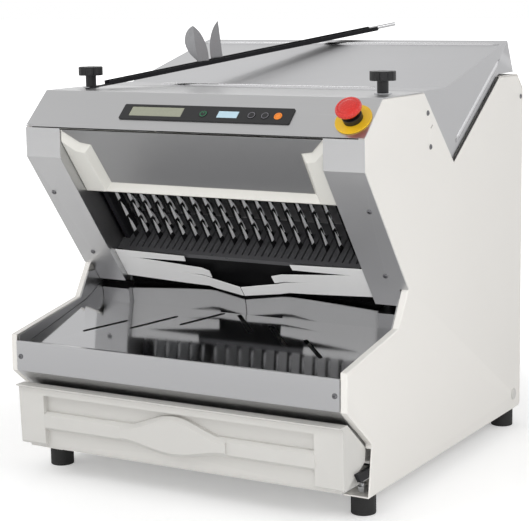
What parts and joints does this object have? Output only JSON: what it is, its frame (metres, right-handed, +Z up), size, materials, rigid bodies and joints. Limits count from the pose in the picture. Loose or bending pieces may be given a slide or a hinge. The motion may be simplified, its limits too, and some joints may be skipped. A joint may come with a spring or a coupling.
{
  "type": "commercial bread slicer",
  "caption": "Table-top commercial bread slicer with inclined reciprocating blade frames, slotted outfeed table, crumb drawer, hinged loading cover and sloping control panel.",
  "frame": {"origin": "centre of the bounding box's bottom face, on the floor between the feet", "axes": "+X to the machine's right as seen from the front, -Y towards the user, +Z up"},
  "size_m": [0.6044, 0.7136, 0.717],
  "materials": {
    "panel_paint": "satin powder coat",
    "stainless": "satin brushed",
    "polished": "polished",
    "dark_steel": "dark coat",
    "zinc": "zinc plated",
    "blade_steel": "ground",
    "black_plastic": "matte",
    "white_plastic": "satin",
    "cream_plastic": "satin",
    "nylon": "matte",
    "rubber_black": "matte",
    "red_plastic": "gloss",
    "yellow_plastic": "matte",
    "orange_plastic": "matte",
    "grey_plastic": "matte",
    "lcd": "gloss",
    "cast": "cast",
    "belt_rubber": "matte"
  },
  "bodies": {
    "machine": {"right_side_panel": "panel_paint", "left_side_panel": "panel_paint", "hole_plugs": "white_plastic", "rubber_feet": "rubber_black", "foot_bolts": "zinc", "cross_beams": "zinc", "chassis_plates": "zinc", "front_hood": "stainless", "right_column": "stainless", "left_column": "stainless", "guard_liner": "cream_plastic", "guard_plate": "polished", "display_bezel": "black_plastic", "lcd_window": "lcd", "control_box": "grey_plastic", "stop_ring": "yellow_plastic", "stop_body": "black_plastic", "knob_washers": "zinc", "cover_hinges": "zinc", "rear_panel": "panel_paint", "power_inlet": "black_plastic", "slotted_table": "polished", "table_cheeks": "stainless", "drawer_runners": "dark_steel", "right_fingers": "nylon", "left_fingers": "nylon", "finger_clamps": "dark_steel", "support_grid": "black_plastic", "frame_guides": "nylon", "shaft_bearings": "zinc", "motor": "dark_steel", "drive_belt": "belt_rubber", "loading_chute": "stainless", "pusher_rods": "zinc", "machine_screws": "zinc"},
    "blade_frame_a": {"blade_frame_a": "dark_steel", "blades_a": "blade_steel", "rod_a": "cast"},
    "blade_frame_b": {"blade_frame_b": "dark_steel", "blades_b": "blade_steel", "rod_b": "cast"},
    "crank": {"crankshaft": "zinc", "crank_pulley": "cast"},
    "motor_rotor": {"motor_shaft": "zinc", "motor_pulley": "cast"},
    "cover": {"loading_cover": "stainless", "cover_leaves": "zinc"},
    "scoop": {"scoop_carrier": "dark_steel", "scoop_fins": "stainless", "scoop_pads": "rubber_black"},
    "pusher": {"pusher": "stainless"},
    "drawer": {"crumb_drawer": "white_plastic"},
    "stop_plunger": {"stop_stem": "black_plastic"},
    "stop_head": {"stop_head": "red_plastic"},
    "power_key": {"power_key": "black_plastic"},
    "minus_key": {"minus_key": "black_plastic"},
    "plus_key": {"plus_key": "black_plastic"},
    "stop_key": {"stop_key": "orange_plastic"},
    "right_knob": {"right_knob": "black_plastic"},
    "left_knob": {"left_knob": "black_plastic"}
  },
  "joints": [
    {"name": "frame_a_stroke", "type": "slide", "parent": "machine", "child": "blade_frame_a", "axis": [0, 0.6007, -0.7995], "range_m": [-0.01, 0.01]},
    {"name": "frame_b_stroke", "type": "slide", "parent": "machine", "child": "blade_frame_b", "axis": [0, 0.6007, -0.7995], "range_m": [-0.01, 0.01]},
    {"name": "crank_turn", "type": "hinge", "parent": "machine", "child": "crank", "pos_m": [0, 0.02037, 0.19267], "axis": [1, 0, 0], "continuous": true},
    {"name": "motor_turn", "type": "hinge", "parent": "machine", "child": "motor_rotor", "pos_m": [0, 0.20869, 0.262], "axis": [1, 0, 0], "continuous": true},
    {"name": "cover_hinge", "type": "hinge", "parent": "machine", "child": "cover", "pos_m": [0, 0.28869, 0.628], "axis": [-1, 0, 0], "range_deg": [0, 65]},
    {"name": "scoop_lift", "type": "slide", "parent": "cover", "child": "scoop", "axis": [0, 0, 1], "range_m": [0, 0.08]},
    {"name": "pusher_travel", "type": "slide", "parent": "machine", "child": "pusher", "axis": [0, -0.7995, -0.6007], "range_m": [0, 0.15]},
    {"name": "drawer_pull", "type": "slide", "parent": "machine", "child": "drawer", "axis": [0, -1, 0], "range_m": [0, 0.3]},
    {"name": "stop_push", "type": "slide", "parent": "machine", "child": "stop_plunger", "axis": [0, 0.6767, -0.7363], "range_m": [0, 0.004], "stiffness_N_per_m": 900, "springref_m": -0.002},
    {"name": "stop_release", "type": "hinge", "parent": "stop_plunger", "child": "stop_head", "pos_m": [0.27, -0.28267, 0.59901], "axis": [0, 0.6767, -0.7363], "range_deg": [0, 30], "stiffness_Nm_per_rad": 0.05, "springref_deg": -5.73},
    {"name": "power_key_press", "type": "slide", "parent": "machine", "child": "power_key", "axis": [0, 0.6767, -0.7363], "range_m": [0, 0.0008], "stiffness_N_per_m": 600, "springref_m": -0.0005},
    {"name": "minus_key_press", "type": "slide", "parent": "machine", "child": "minus_key", "axis": [0, 0.6767, -0.7363], "range_m": [0, 0.0008], "stiffness_N_per_m": 600, "springref_m": -0.0005},
    {"name": "plus_key_press", "type": "slide", "parent": "machine", "child": "plus_key", "axis": [0, 0.6767, -0.7363], "range_m": [0, 0.0008], "stiffness_N_per_m": 600, "springref_m": -0.0005},
    {"name": "stop_key_press", "type": "slide", "parent": "machine", "child": "stop_key", "axis": [0, 0.6767, -0.7363], "range_m": [0, 0.0008], "stiffness_N_per_m": 600, "springref_m": -0.0005},
    {"name": "right_knob_turn", "type": "hinge", "parent": "machine", "child": "right_knob", "pos_m": [0.265, -0.16331, 0.614], "axis": [0, 0, 1], "continuous": true},
    {"name": "left_knob_turn", "type": "hinge", "parent": "machine", "child": "left_knob", "pos_m": [-0.265, -0.16331, 0.614], "axis": [0, 0, 1], "continuous": true}
  ],
  "couplings": [
    {"joint": "frame_b_stroke", "follows": "frame_a_stroke", "ratio": -1},
    {"joint": "motor_turn", "follows": "crank_turn", "ratio": 2}
  ]
}
